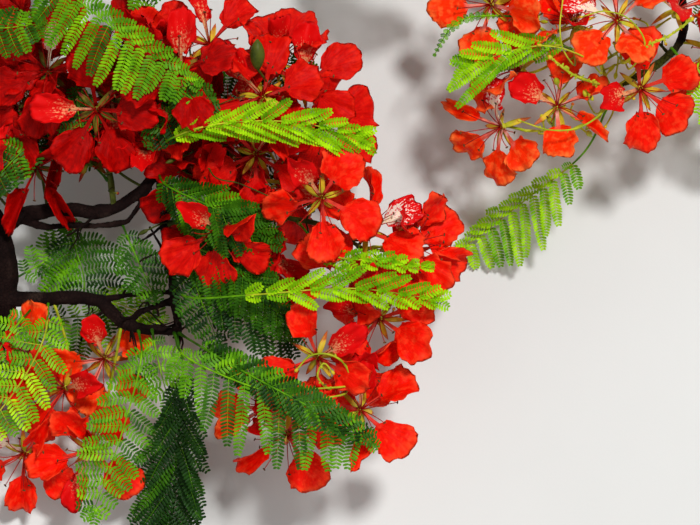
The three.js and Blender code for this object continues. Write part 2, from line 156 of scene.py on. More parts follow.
OPEN_STALKS = {  # flower stalks that pass over the petals: the radius of each and the places it passes
    "right_racemes": [
        (1.0, [(640, 376, 168), (625, 390, 186), (600, 400, 192), (580, 403, 186)]),
        (1.6, [(636, 366, 164), (612, 374, 182), (590, 390, 188)]),
        (1.6, [(662, 386, 176), (684, 402, 198), (706, 412, 200), (728, 428, 190)]),
        (1.1, [(652, 356, 158), (640, 336, 178), (616, 321, 190), (588, 319, 192), (560, 328, 178)]),
        (0.9, [(614, 384, 166), (602, 398, 190), (598, 420, 196), (601, 448, 190)]),
        (1.0, [(668, 380, 176), (682, 404, 200), (666, 428, 206), (642, 436, 204), (620, 431, 196)]),
    ],
    "hanging_raceme": [
        (1.3, [(392, 70, 182), (384, 88, 204), (368, 97, 210), (350, 95, 210), (338, 82, 206)]),
        (1.2, [(392, 66, 182), (362, 63, 204), (332, 62, 204)]),
        (1.2, [(386, 58, 180), (370, 54, 198), (352, 52, 200)]),
        (1.3, [(372, 60, 176), (358, 74, 202), (364, 88, 210), (372, 80, 208)]),
    ],
    "long_raceme": [(1.1, [(398, 196, 176), (420, 186, 190), (440, 180, 182)])],
    "crown_raceme_right": [
        (0.8, [(250, 338, 172), (264, 346, 186), (282, 352, 188)]),
        (0.8, [(254, 274, 168), (280, 266, 184), (308, 254, 182)]),
    ],
}
GREEN_BUD = (298, 380, 200)


# Where leaves stand, and their greens

LEAVES = {  # as build_leaf takes them, all but the last with a solid of their own
    "leaf_top_left": (
        [(62, 487, 100), (92, 470, 198), (150, 424, 228), (232, 368, 214)],
        0.3, (26, 56), (58, 12), 13, "fresh", 0.5),
    "leaf_top_corner": (
        [(10, 438, 98), (14, 430, 160), (40, 420, 196), (78, 424, 184)],
        0.4, (22, 30), (34, 16), 10, "fresh", 0.5),
    "leaf_top_tip": (
        [(150, 514, 99), (160, 500, 130), (176, 470, 136), (184, 448, 120)],
        0.3, (26, 50), (26, 50), 10, "fresh"),
    "leaf_upper_right": (
        [(200, 298, 124), (212, 310, 196), (260, 324, 226), (330, 326, 230), (396, 314, 214)],
        0.3, (40, 70), (66, 66), 19, "bright", 1.1),
    "leaf_under_knot": (
        [(196, 280, 120), (208, 264, 168), (250, 244, 192), (298, 222, 186)],
        0.25, (40, 55), (52, 40), 10, "deep", 0.6),
    "leaf_between_limbs": (
        [(120, 151, 80), (119, 172, 56), (112, 196, 50), (108, 214, 46)],
        0.2, (54, 12), (52, 12), 11, "deep", 0.2, 0.4),
    "leaf_below_limb": (
        [(146, 141, 88), (132, 134, 44), (94, 130, 28), (58, 122, 18)],
        0.2, (52, 12), (14, 30), 15, "fresh"),
    "leaf_bright_right": (
        [(212, 160, 99), (236, 152, 170), (300, 156, 208), (390, 162, 214), (470, 152, 196)],
        0.42, (46, 66), (40, 66), 22, "bright", 1.0),
    "leaf_dark_diagonal": (
        [(207, 196, 104), (226, 204, 144), (272, 184, 166), (330, 124, 162)],
        0.25, (34, 54), (42, 46), 10, "deep", 0.6),
    "leaf_lower_right": (
        [(212, 117, 97), (226, 94, 168), (284, 68, 208), (352, 46, 204), (408, 10, 182)],
        0.22, (24, 46), (72, 20), 18, "fresh"),
    "leaf_drooping_dark": (
        [(214, 117, 97), (222, 70, 112), (214, -10, 66), (206, -84, 3)],
        0.2, (58, 58), (70, 58), 8, "darkest"),
    "leaf_lower_left": (
        [(176, 121, 94), (180, 88, 132), (160, 14, 122), (132, -60, 88)],
        0.18, (34, 24), (40, 24), 16, "fresh"),
    "leaf_left_low": (
        [(84, 150, 73), (82, 112, 116), (58, 66, 114), (22, 20, 96)],
        0.2, (40, 26), (34, 26), 16, "sunny"),
    "leaf_left_edge": (
        [(0, 320, 89), (-26, 300, 96), (-60, 240, 56), (-74, 170, 2)],
        0.2, (46, 24), (40, 24), 11, "fresh"),
    "leaf_over_middle": (
        [(290, 528, 97), (310, 545, 110), (380, 566, 70), (450, 572, 2)],
        0.15, (40, 30), (34, 34), 11, "fresh"),
    "leaf_over_right": (
        [(560, 519, 95), (580, 534, 104), (640, 552, 60), (712, 556, 2)],
        0.15, (40, 30), (34, 34), 11, "bright"),
    "right_leaf_hanging": (
        [(652, 350, 114), (626, 298, 90), (570, 252, 42), (508, 204, 3)],
        0.34, (58, 26), (26, 64), 15, "bright", 0.9),
    "right_leaf_top": (
        [(612, 402, 127), (596, 404, 168), (560, 400, 186), (512, 386, 174)],
        0.25, (75, 64), (44, 66), 20, "bright", 0.9),
    "young_leaf": (
        [(566, 434, 134), (526, 433, 172), (504, 430, 176), (488, 418, 170), (475, 396, 156)],
        0.3, (6, 50), (6, 50), 6, "fresh", 0.6, 0, "right_racemes"),
}


def sprig(on, start, end, arch, reach, green, lean=30, step=13, lift=0.2):
    """The values of a leaf without a solid of its own, which arches over the line from its foot to its tip"""
    foot, tip = np.array(start, float), np.array(end, float)
    path = [foot + (tip - foot) * share + [0, 0, arch * rise] for share, rise in SPRIG_ARCH]
    return path, 0.2, (reach, lean), (reach, lean), step, green, lift, 0, on


SPRIGS = {  # by what carries them
    "twig_tangle": {
        "shade_leaf_upper": ((206, 236, 112), (302, 212, 160), 34, 44, "deep", 46, 10, 0.5),
        "shade_leaf_middle": ((212, 210, 105), (302, 156, 150), 30, 44, "deep", 42, 10, 0.5),
        "shade_leaf_lower": ((211, 188, 103), (325, 110, 140), 26, 42, "darkest", 45, 10),
        "shade_leaf_side": ((220, 202, 104), (254, 116, 122), 24, 30, "darkest", 20, 11),
    },
    "upper_limb": {"shade_leaf_hanging": ((160, 226, 100), (190, 160, 106), 14, 28, "deep", 30, 12)},
    "lower_limb": {
        "top_layer_right": ((214, 117, 98), (402, 18, 198), 64, 28, "deep", 52, 7),
        "chevron_leaf": ((190, 119, 98), (206, 52, 104), 22, 28, "fresh", 12, 15),
        "left_layer": ((70, 148, 70), (10, 62, 90), 24, 34, "fresh", 30, 15),
        "gap_leaf": ((212, 124, 66), (142, 150, 40), 6, 26, "sunny", 25, 10),
    },
    "long_raceme": {"bright_layer": ((330, 200, 150), (464, 184, 188), 34, 20, "bright", 66, 16, 1.0)},
    "crown_raceme_left": {
        "crown_leaf_left": ((146, 270, 112), (60, 360, 86), -8, 44, "darkest", 35, 11),
        "crown_leaf_middle": ((150, 290, 112), (180, 416, 92), -6, 44, "darkest", 35, 11),
        "crown_leaf_inner": ((128, 300, 124), (116, 350, 150), 30, 26, "deep", 20, 10),
        "crown_leaf_edge": ((60, 300, 100), (30, 262, 130), 34, 24, "deep", 25, 10),
    },
    "crown_raceme_top": {
        "crown_leaf_right": ((205, 330, 128), (336, 384, 92), -14, 40, "deep", 35, 10, 0.4),
        "crown_leaf_outer": ((226, 350, 140), (196, 312, 172), 30, 26, "deep", 25, 10),
        "crown_leaf_tip": ((206, 372, 160), (250, 336, 202), 22, 28, "deep", 45, 9, 0.4),
    },
    "crown_raceme_right": {"crown_leaf_low": ((202, 292, 124), (336, 250, 92), -10, 40, "deep", 35, 10, 0.4)},
    "overhead_bough_left": {"bough_leaf_left": ((-8, 400, 96), (-94, 430, 60), 38, 32, "fresh")},
    "main_bough": {
        "bough_leaf_foot": ((-10, 100, 40), (-88, 34, 14), 38, 32, "fresh"),
        "bough_leaf_between": ((50, 172, 40), (104, 204, 24), 8, 30, "fresh", 22, 11),
    },
    "overhead_bough_middle": {
        "bough_leaf_corner": ((118, 504, 99), (44, 586, 60), 52, 36, "fresh"),
        "bough_leaf_top": ((220, 524, 98), (126, 590, 50), 52, 36, "bright"),
        "bough_leaf_inner": ((350, 526, 97), (470, 478, 128), 46, 36, "fresh"),
    },
    "overhead_bough_right": {
        "bough_leaf_high": ((440, 522, 95), (348, 592, 40), 58, 36, "deep"),
        "bough_leaf_far": ((500, 522, 95), (616, 584, 50), 52, 36, "bright"),
        "bough_leaf_end": ((690, 500, 97), (790, 560, 50), 52, 34, "fresh"),
    },
    "right_twig": {
        "twig_leaf_outer": ((724, 430, 106), (806, 456, 66), 46, 30, "fresh"),
        "twig_leaf_low": ((716, 402, 110), (796, 300, 40), 50, 34, "bright"),
    },
}
LIT_AND_SHADED_GREENS = ["darkest", "deep", "fresh", "sunny", "bright"]  # a leaf's greens: one leaf green, with the two darker copies painted shade and the two lighter copies painted sunlight shining through; the middle one is the leaf's own
RIB_GREENS = {  # of a leaf's ribs and its bare stalk, where they aren't fresh and deep; those of leaves in painted sunlight are lighter too
    "bright": ("stalk_green", "leaf_fresh"), "sunny": ("stalk_green", "leaf_fresh"),
    "fresh": ("leaf_sunny", "leaf_deep"),
}


# Where blooms stand

BLOOMS = {  # by what carries them, as build_bloom takes them
    "right_racemes": {
        "right_tail": ((543, 324, 126), (190, 55), (110, 158, 208, 262, 304), "orange", "upper", (1,)),
        "right_middle": ((597, 343, 140), (60, 70), (150, 80, 22, 328, 275), "orange"),
        "right_far": ((532, 446, 140), (200, 65), (110, 185, 255, 345, 50), "orange"),
        "right_top": ((657, 428, 168), (120, 70), (160, 100, 42, 225, 300), "orange", "upper"),
    },
    "right_twig": {
        "right_pair": ((680, 362, 146), (300, 70), (200, 272, 324, 20, 95), "scarlet"),
        "right_edge": ((752, 404, 116), (320, 65), (100, 235, 288, 340, 35), "scarlet"),
    },
    "overhead_bough_right": {
        "right_above": ((586, 476, 107), (100, 75), (80, 140, 215, 290, 15), "scarlet"),
    },
    "long_raceme": {
        "main_upright": ((406, 218, 166), (70, 65), (28, 82, 138, 200, 340), "scarlet", "upper", (1,)),
        "main_disc": ((362, 252, 204), (250, 75), (125, 55, 192, 276, 332), "scarlet"),
        "main_right": ((446, 196, 132), (0, 74), (95, 38, 350, 290, 215), "scarlet", "upper_red", (4,)),
        "middle_low": ((262, 218, 120), (280, 78), (30, 100, 195, 268, 335), "crimson"),
    },
    "hanging_raceme": {
        "main_centre": ((420, 132, 152), (200, 76), (172, 228, 326, 20, 95), "scarlet"),
        "main_low": ((400, 40, 142), (20, 76), (88, 30, 318, 262, 165), "scarlet"),
        "main_loops": ((358, 94, 178), (240, 78), (30, 110, 205, 270, 330), "scarlet"),
        "main_bottom": ((327, 16, 120), (250, 70), (122, 60, 0, 298, 216), "scarlet"),
    },
    "crown_raceme_right": {
        "top_open": ((342, 366, 146), (60, 75), (84, 30, 325, 245, 150), "cherry"),
        "top_upright": ((303, 352, 174), (100, 75), (130, 78, 20, 200, 290), "cherry"),
        "top_middle": ((268, 334, 137), (80, 80), (56, 115, 180, 245, 340), "crimson"),
        "middle_right": ((296, 296, 149), (300, 78), (60, 330, 270, 205, 135), "cherry"),
    },
    "crown_raceme_top": {
        "top_flag": ((250, 404, 156), (90, 72), (105, 50, 165, 240, 330), "cherry"),
        "top_hood": ((222, 376, 188), (110, 76), (88, 140, 205, 290, 20), "crimson"),
    },
    "crown_raceme_left": {
        "left_standard": ((88, 378, 150), (110, 80), (84, 140, 200, 262, 20), "crimson", "upper"),
        "left_crown": ((138, 340, 176), (270, 80), (180, 240, 295, 355, 100), "crimson"),
        "left_high": ((56, 340, 122), (170, 76), (100, 160, 215, 275, 20), "crimson"),
    },
    "upper_limb": {
        "left_low": ((74, 284, 102), (230, 76), (130, 190, 245, 300, 30), "crimson", "upper_red", (2, 3)),
    },
    "main_bough": {
        "low_left": ((58, -6, 44), (250, 65), (150, 205, 266, 325, 50), "scarlet", "upper"),
    },
    "lower_limb": {
        "low_middle": ((126, -3, 66), (240, 68), (252, 196, 120, 50, 320), "scarlet"),
        "below_limb": ((140, 90, 52), (230, 76), (110, 190, 245, 320, 30), "orange"),
    },
}
# Blossoms without a solid of their own, by what carries them: the calyx, the bearing and rise of the way it
# faces, how many degrees its petals stand open, where round it the upper one stands, and its red
BLOSSOMS = {
    "crown_raceme_left": [
        ((150, 350, 128), (200, 60), 66, 30, "crimson"),
        ((186, 300, 122), (70, 40), 66, 90, "crimson"),
        ((128, 290, 112), (100, 35), 66, 90, "crimson"),
        ((40, 400, 120), (120, 60), 66, 10, "crimson"),
        ((20, 300, 104), (180, 60), 66, 10, "crimson"),
        ((170, 392, 134), (70, 40), 62, 80, "crimson"),
        ((198, 384, 140), (92, 14), 34, 90, "cherry"),
        ((112, 400, 128), (150, 35), 60, 100, "crimson"),
        ((100, 318, 118), (250, 50), 66, 60, "crimson"),
    ],
    "overhead_bough_left": [((60, 440, 124), (100, 60), 64, 70, "crimson")],
    "upper_limb": [
        ((236, 272, 118), (250, 60), 66, 80, "crimson"),
        ((150, 296, 110), (80, 35), 60, 90, "crimson"),
        ((196, 330, 126), (120, 50), 66, 20, "crimson"),
        ((214, 300, 112), (40, 40), 60, 90, "crimson"),
        ((30, 262, 98), (120, 40), 60, 90, "crimson"),
    ],
    "crown_raceme_top": [
        ((190, 392, 128), (250, 50), 62, 60, "crimson"),
        ((214, 344, 150), (200, 45), 60, 90, "cherry"),
    ],
    "crown_raceme_right": [
        ((310, 316, 122), (270, 60), 66, 20, "cherry"),
        ((284, 290, 112), (200, 60), 66, 50, "crimson"),
        ((318, 384, 140), (85, 20), 32, 90, "cherry"),
        ((356, 326, 120), (350, 45), 62, 90, "cherry"),
        ((324, 268, 132), (290, 35), 60, 40, "cherry"),
    ],
    "long_raceme": [
        ((300, 200, 108), (260, 55), 66, 10, "cherry"),
        ((392, 176, 150), (230, 45), 64, 90, "scarlet"),
        ((444, 206, 150), (10, 46), 62, 54, "scarlet"),
        ((258, 222, 176), (270, 50), 64, 126, "cherry"),
    ],
    "hanging_raceme": [
        ((386, 84, 130), (310, 40), 60, 70, "scarlet"),
        ((308, 42, 116), (178, 40), 58, 54, "orange"),
    ],
    "lower_limb": [
        ((100, 60, 60), (230, 60), 66, 70, "scarlet"),
        ((62, 92, 60), (160, 45), 62, 90, "orange"),
    ],
    "main_bough": [((30, 30, 50), (200, 40), 62, 60, "scarlet")],
    "right_racemes": [
        ((616, 424, 140), (120, 40), 60, 90, "orange"),
        ((562, 380, 130), (160, 35), 56, 120, "orange"),
    ],
    "right_twig": [((716, 440, 140), (60, 45), 62, 90, "orange")],
}


# Paths and skins

def seeded(name):
    """A random source that gives the same numbers for the same name on each run"""
    return np.random.default_rng(zlib.crc32(name.encode()))


def place(points):
    """Millimetres from under the sawn end as metres in the frame"""
    return ORIGIN + np.asarray(points, float) * MM


def measured(points):
    """Metres in the frame as millimetres from under the sawn end"""
    return (np.array(points) - ORIGIN) / MM


def above_floor(points, radius=0):
    """The points with those that droop too low raised to the floor"""
    return np.maximum(points, [-np.inf, -np.inf, FLOOR_CLEARANCE + radius])


def unit(vectors):
    return vectors / np.linalg.norm(vectors, axis=-1, keepdims=True)


def turned(first, second, angle):
    """The way that lies at an angle from the first of two square ways towards the second"""
    return first * np.cos(angle) + second * np.sin(angle)


def heading(bearing, rise):
    """The unit way of a bearing and a rise"""
    level = math.cos(rise)
    return np.array([level * math.cos(bearing), level * math.sin(bearing), math.sin(rise)])


def picked(path, known, wanted):
    """The places on a path at the wanted values, where the values at its points are known"""
    return np.stack([np.interp(wanted, known, column) for column in path.T], axis=-1)


def smooth_path(points, count):
    """Evenly spaced places on a smooth curve through the points"""
    points = np.asarray(points, float)
    ends = np.vstack([2 * points[0] - points[1], points, 2 * points[-1] - points[-2]])
    before, start, end, after = (ends[shift:len(ends) - 3 + shift, None] for shift in range(4))
    share = np.linspace(0, 1, 24, endpoint=False)[:, None]
    places = 0.5 * (
        2 * start + (end - before) * share + (2 * before - 5 * start + 4 * end - after) * share ** 2
        + (3 * start - before - 3 * end + after) * share ** 3)
    places = np.vstack([places.reshape(-1, 3), points[-1]])
    lengths = np.append(0, np.cumsum(np.linalg.norm(np.diff(places, axis=0), axis=1)))
    return picked(places, lengths, np.linspace(0, lengths[-1], count))


def quads(index):
    """The faces of a grid of numbered points"""
    near, far = index[:-1], index[1:]
    return np.stack([near[:, :-1], far[:, :-1], far[:, 1:], near[:, 1:]], axis=-1).reshape(-1, 4)


def added(name, data):
    """A new object of the data, in the scene"""
    thing = bpy.data.objects.new(name, data)
    bpy.context.scene.collection.objects.link(thing)
    return thing


class Skin:
    """Points in millimetres and faces, gathered for one piece"""

    def __init__(self):
        self.points, self.values, self.faces, self.slots = [], [], [], []
        self.count = 0

    def add(self, points, face_groups, slot=0, values=None):
        """Adds groups of faces of three or four corners. Materials may read the two values of each point."""
        points = points.reshape(-1, 3)
        self.points.append(points)
        self.values.append(np.zeros((len(points), 2)) if values is None else values)
        for faces in face_groups:
            self.faces.append(faces + self.count)
            self.slots.append(np.full(len(faces), slot))
        self.count += len(points)

    def tube(self, path, radii, sides, slot=0, along=(0, 1)):
        """A tube with closed ends round a path, whose first value runs between the two numbers of along"""
        path = above_floor(path)
        radii = np.broadcast_to(radii, len(path))
        ways = unit(np.gradient(path, axis=0))
        side = np.cross(ways[0], UP)
        if np.linalg.norm(side) < 0.1:
            side = np.cross(ways[0], [1, 0, 0])
        turns = np.arange(sides)[:, None] * 2 * math.pi / sides
        rings = []
        for middle, way, radius in zip(path, ways, radii):
            side = unit(side - way * side.dot(way))
            rings.append(middle + radius * turned(side, np.cross(way, side), turns))
        ends = [path[0] - ways[0] * radii[0] * END_BULGE, path[-1] + ways[-1] * radii[-1] * END_BULGE]
        count = len(path) * sides
        index = np.arange(count).reshape(-1, sides)
        index = np.column_stack([index, index[:, 0]])
        start_cap = np.stack([np.full(sides, count), index[0, 1:], index[0, :-1]], axis=1)
        end_cap = np.stack([np.full(sides, count + 1), index[-1, :-1], index[-1, 1:]], axis=1)
        told = np.append(np.repeat(np.linspace(*along, len(path)), sides), along)
        values = np.stack([told, 0 * told], axis=1)
        self.add(np.vstack([*rings, ends]), [quads(index.T), start_cap, end_cap], slot, values)

    def sheet(self, grid, thickness, slot, values):
        """A thin closed sheet over a grid of points, with sharp edges"""
        front = np.arange(grid[..., 0].size).reshape(grid.shape[:2])
        back = front.copy()
        inner = back[1:-1, 1:-1]
        inner[:] = front.size + np.arange(inner.size).reshape(inner.shape)
        normals = unit(np.cross(np.gradient(grid, axis=0), np.gradient(grid, axis=1)) + TINY)
        behind = (grid - normals * thickness)[1:-1, 1:-1]
        points = np.vstack([grid.reshape(-1, 3), behind.reshape(-1, 3)])
        told = np.vstack([values.reshape(-1, 2), values[1:-1, 1:-1].reshape(-1, 2)])
        self.add(points, [quads(front), quads(back)[:, ::-1]], slot, told)

    def piece(self, name, *finishes):
        """The object with its finishes, and its two values as the attributes along and across"""
        mesh = bpy.data.meshes.new(name)
        faces = [face for group in self.faces for face in group.tolist()]
        mesh.from_pydata(place(np.vstack(self.points)), [], faces)
        mesh.polygons.foreach_set("material_index", np.concatenate(self.slots).astype(np.int32))
        for label, values in zip(("along", "across"), np.vstack(self.values).T):
            layer = mesh.attributes.new(label, "FLOAT", "POINT")
            layer.data.foreach_set("value", values.astype(np.float32))
        for finish in finishes:
            mesh.materials.append(FINISHES[finish])
        mesh.shade_smooth()
        return added(name, mesh)


def settle(thing, slot, *nodes):
    """Ties a finished piece to the branch and hides the solids it stands for. The slot is not used."""
    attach(thing, "root")
    if nodes:
        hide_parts(*nodes)


# Materials

FINISHES = {}


class Finish:
    """A material under construction, with its nodes and the shader that they feed"""

    def __init__(self, name, roughness, specular):
        FINISHES[name] = bpy.data.materials.new(name)
        FINISHES[name].use_nodes = True
        self.tree = FINISHES[name].node_tree
        self.shader = self.tree.nodes["Principled BSDF"]
        self.shader.inputs["Roughness"].default_value = roughness
        self.shader.inputs["Specular IOR Level"].default_value = specular
        self.spot = self.tree.nodes.new("ShaderNodeTexCoord").outputs["Object"]

    def node(self, kind, inputs, **settings):
        """Adds a node. Each input is a number, a colour, a place or another node's socket."""
        made = self.tree.nodes.new(kind)
        for setting, value in settings.items():
            setattr(made, setting, value)
        for key, value in inputs.items():
            socket = made.inputs[key]
            if isinstance(value, bpy.types.NodeSocket):
                self.tree.links.new(value, socket)
            elif socket.type == "RGBA":
                socket.default_value = (*value, 1)
            else:
                socket.default_value = value
        return made

    def value(self, label):
        """One of the two values that a piece's points carry"""
        return self.node("ShaderNodeAttribute", {}, attribute_name=label).outputs["Fac"]

    def maths(self, operation, *values):
        return self.node("ShaderNodeMath", dict(enumerate(values)), operation=operation).outputs[0]

    def ramp(self, factor, *stops):
        """Colours along a factor, each stop a place and a colour"""
        made = self.node("ShaderNodeValToRGB", {0: factor})
        elements = made.color_ramp.elements
        while len(elements) < len(stops):
            elements.new(1)
        for element, (position, colour) in zip(elements, stops):
            element.position = position
            element.color = (*colour, 1)
        return made.outputs["Color"]

    def fade(self, factor, *stops):
        """A share along a factor, each stop a place and a share"""
        return self.ramp(factor, *((position, (share,) * 3) for position, share in stops))

    def distance(self, point):
        """How far a place lies from a point in the frame"""
        inputs = {0: self.spot, 1: point}
        return self.node("ShaderNodeVectorMath", inputs, operation="DISTANCE").outputs["Value"]

    def mix(self, factor, first, second):
        """The second colour over the first by a factor"""
        return self.node("ShaderNodeMix", {0: factor, 6: first, 7: second}, data_type="RGBA").outputs[2]

    def noise(self, scale, detail, spot=None):
        """Cloudy values from 0 to 1"""
        inputs = {"Vector": spot or self.spot, "Scale": scale, "Detail": detail}
        return self.node("ShaderNodeTexNoise", inputs).outputs["Fac"]

    def veins(self, across, along):
        """A place that is stretched along the veins, which fan out from a petal's foot"""
        wide = self.maths("MULTIPLY", self.value("across"), across)
        far = self.maths("MULTIPLY", self.value("along"), along)
        return self.node("ShaderNodeCombineXYZ", {"X": wide, "Y": far}).outputs[0]

    def finish(self, colour, height, depth):
        """Feeds the shader its colour and its relief, so many millimetres deep"""
        self.tree.links.new(colour, self.shader.inputs["Base Color"])
        bump = self.node("ShaderNodeBump", {"Height": height, "Distance": depth * MM, "Strength": 0.6})
        self.tree.links.new(bump.outputs["Normal"], self.shader.inputs["Normal"])


def petal_finish(name, shade, body, margin, claw):
    """Petal silk, darker along its veins and lighter at its margin, with a colour of its own at the claw and
    specks of the margin colour as painted highlights
    """
    silk = Finish(name, 0.5, 0.06)
    veins = silk.veins(7, 1.6)
    patchy = silk.maths("MULTIPLY_ADD", silk.noise(70, 3), 0.5, silk.value("along"))
    place_on_petal = silk.maths("SUBTRACT", patchy, 0.25)
    ground = silk.ramp(place_on_petal, (0.08, claw), (0.38, body), (0.84, body), (1.0, margin))
    streaks = silk.fade(silk.noise(2.2, 3, veins), (0.35, 0.55), (0.6, 0))
    # Light specks of the margin colour: painted highlights that stand in for glints on the crumples
    painted_highlights = silk.fade(silk.noise(160, 4), (0.5, 0), (0.66, 0.5))
    colour = silk.mix(painted_highlights, silk.mix(streaks, ground, shade), margin)
    relief = silk.maths("MULTIPLY_ADD", silk.noise(130, 4), 2, silk.noise(5, 2, veins))
    silk.finish(colour, relief, 0.9)


def upper_petal_finish(name, *stops):
    """The upper petal, pale at its foot, with streaks and dots of red that close up towards its margin"""
    silk = Finish(name, 0.5, 0.06)
    veins = silk.veins(16, 2.4)
    marks = silk.maths("ADD", silk.noise(1.5, 3, veins), silk.noise(420, 2))
    marked = silk.maths("MULTIPLY_ADD", marks, MARK_SPREAD, silk.value("along"))
    spread = silk.maths("SUBTRACT", marked, MARK_SPREAD)
    silk.finish(silk.ramp(spread, *stops), silk.noise(5, 2, veins), 0.5)


def green_finish(name, shade, light, scale, roughness=0.45):
    """Leaf or stalk, uneven in colour from place to place"""
    skin = Finish(name, roughness, 0.12)
    colour = skin.ramp(skin.noise(scale, 3), (0.35, shade), (0.65, light))
    skin.finish(colour, skin.noise(900, 2), 0.2)


def sepal_finish(name, foot, middle, tip):
    """Sepals and calyx, flushed with another colour towards the tips"""
    skin = Finish(name, 0.5, 0.2)
    spread = skin.maths("MULTIPLY_ADD", skin.value("along"), 0.6, skin.noise(70, 3))
    colour = skin.ramp(spread, (0.45, foot), (0.85, middle), (1.0, tip))
    skin.finish(colour, skin.noise(500, 2), 0.2)


def bark_finish(name):
    """Near-black brown bark, its brown darkened partly as painted shade, with fine cracks and grey patches,
    still green on the youngest wood
    """
    bark = Finish(name, 0.85, 0.1)
    inputs = {"Vector": bark.spot, "Scale": CRACK_SCALE}
    cracks = bark.node("ShaderNodeTexVoronoi", inputs, feature="DISTANCE_TO_EDGE")
    open_bark = bark.fade(cracks.outputs["Distance"], (0, 0), (0.07, 1))
    plates = bark.ramp(
        bark.noise(45, 6), (0.3, (0.004, 0.001, 0.001)), (0.58, (0.012, 0.0045, 0.0035)),
        (0.85, (0.05, 0.03, 0.022)))
    young = bark.fade(bark.distance(place(YOUNG_WOOD)), (0.035, 0.85), (0.075, 0))
    plates = bark.mix(young, plates, (0.07, 0.09, 0.008))
    colour = bark.mix(open_bark, (0.003, 0.001, 0.001), plates)
    bark.finish(colour, bark.maths("ADD", bark.noise(300, 6), open_bark), 0.8)


def sawn_finish(name):
    """Pale sawn wood with rings round the pith"""
    wood = Finish(name, 0.8, 0.25)
    wobbly = wood.maths("MULTIPLY_ADD", wood.noise(90, 2), 2 * MM, wood.distance(SAWN_END))
    rings = wood.maths("SINE", wood.maths("MULTIPLY", wobbly, 2800))
    colour = wood.ramp(rings, (0, (0.42, 0.27, 0.14)), (1, (0.62, 0.46, 0.28)))
    wood.finish(colour, wood.noise(800, 2), 0.3)


def floor_finish(name):
    """Pale matt floor"""
    floor = Finish(name, 0.9, 0.2)
    colour = floor.ramp(floor.noise(3, 4), (0.3, (0.7, 0.7, 0.68)), (0.7, (0.74, 0.74, 0.72)))
    floor.finish(colour, floor.noise(400, 2), 0.1)


# One petal red in lit and shaded copies: scarlet is its own colour, the two darker ones carry painted shade
# for blooms in the crown's shade, and the lightest is partly its own warmer red and partly painted sunlight
petal_finish("petal_scarlet", (0.66, 0.003, 0), (0.92, 0.007, 0), (0.98, 0.06, 0.014), (0.8, 0.1, 0.07))
petal_finish("petal_crimson", (0.15, 0, 0), (0.39, 0.0005, 0), (0.62, 0.003, 0.001), (0.34, 0.003, 0.002))
petal_finish("petal_cherry", (0.36, 0.001, 0), (0.66, 0.003, 0.001), (0.86, 0.016, 0.004), (0.6, 0.04, 0.03))
petal_finish("petal_orange", (0.86, 0.012, 0), (0.96, 0.029, 0), (0.98, 0.17, 0.03), (0.9, 0.5, 0.4))
upper_petal_finish(
    "petal_upper", (0.05, (0.8, 0.5, 0.42)), (0.3, (0.93, 0.8, 0.5)), (0.62, (0.93, 0.78, 0.7)),
    (0.74, (0.72, 0.003, 0.004)))
upper_petal_finish(
    "petal_upper_red", (0.05, (0.7, 0.2, 0.14)), (0.2, (0.88, 0.5, 0.2)), (0.42, (0.84, 0.16, 0.08)),
    (0.58, (0.7, 0.003, 0.003)))
sepal_finish("sepal", (0.4, 0.46, 0.02), (0.72, 0.48, 0.02), (0.5, 0.1, 0.01))
# A copy of the sepal colours darkened as painted shade, for blooms in the crown's shade
sepal_finish("sepal_painted_shade", (0.05, 0.1, 0.004), (0.22, 0.16, 0.01), (0.2, 0.01, 0.004))
green_finish("stamen_red", (0.2, 0, 0), (0.5, 0.01, 0.005), 200)
green_finish("anther", (0.03, 0.008, 0.004), (0.18, 0.08, 0.02), 300, 0.7)
green_finish("stalk_green", (0.26, 0.34, 0.01), (0.6, 0.6, 0.03), 60)
# A copy of the stalk green darkened as painted shade, for the crown's stalks
green_finish("stalk_painted_shade", (0.022, 0.035, 0.003), (0.085, 0.1, 0.01), 60)
# Copies of one leaf green: the two lighter ones are painted sunlight shining through, the middle one is the
# leaf's own and the two darker ones are painted shade
green_finish("leaf_sunny", (0.1, 0.29, 0.002), (0.24, 0.55, 0.004), 90)
green_finish("leaf_bright", (0.2, 0.46, 0.002), (0.44, 0.76, 0.006), 90)
green_finish("leaf_fresh", (0.05, 0.19, 0.001), (0.14, 0.38, 0.003), 90)
green_finish("leaf_deep", (0.014, 0.07, 0.001), (0.045, 0.16, 0.003), 90)
green_finish("leaf_darkest", (0.004, 0.025, 0.001), (0.014, 0.065, 0.003), 90)
bark_finish("bark")
sawn_finish("sawn_wood")
floor_finish("floor_matt")


# Woody limbs and flower stalks

CARRIERS = {}  # trees that find the nearest place on a solid's skin
for carrier in BOUGHS + CROWN_RACEMES + SUNLIT_RACEMES:
    solid = frame["nodes"][carrier].data
    corners = [vertex.co for vertex in solid.vertices]
    CARRIERS[carrier] = BVHTree.FromPolygons(corners, [tuple(face.vertices) for face in solid.polygons])


def foot_on(name, point):
    """The place on a solid's skin that is nearest to a point"""
    return measured(CARRIERS[name].find_nearest(Vector(place(point)))[0])


def spots_on(name, count, rng):
    """Random places on a solid's skin with the ways that it faces there, none of them under it"""
    faces = [face for face in frame["nodes"][name].data.polygons if face.normal.z > -0.2]
    areas = np.array([face.area for face in faces])
    for index in rng.choice(len(faces), count, p=areas / areas.sum()):
        yield measured(faces[index].center), np.array(faces[index].normal)


def add_root(gathered, name):
    """Lengthens a raceme's solid into what carries it"""
    start, towards, radius = ROOTS[name]
    way = Vector(place(towards) - place(start)).normalized()
    middle = Vector(place(start)) + way * ROOT_LENGTH / 2 * MM
    upright = way.to_track_quat("Z", "Y").to_matrix().to_4x4()
    bmesh.ops.create_cone(
        gathered, cap_ends=True, segments=16, radius1=radius * MM, radius2=radius * MM,
        depth=ROOT_LENGTH * MM, matrix=Matrix.Translation(middle) @ upright)


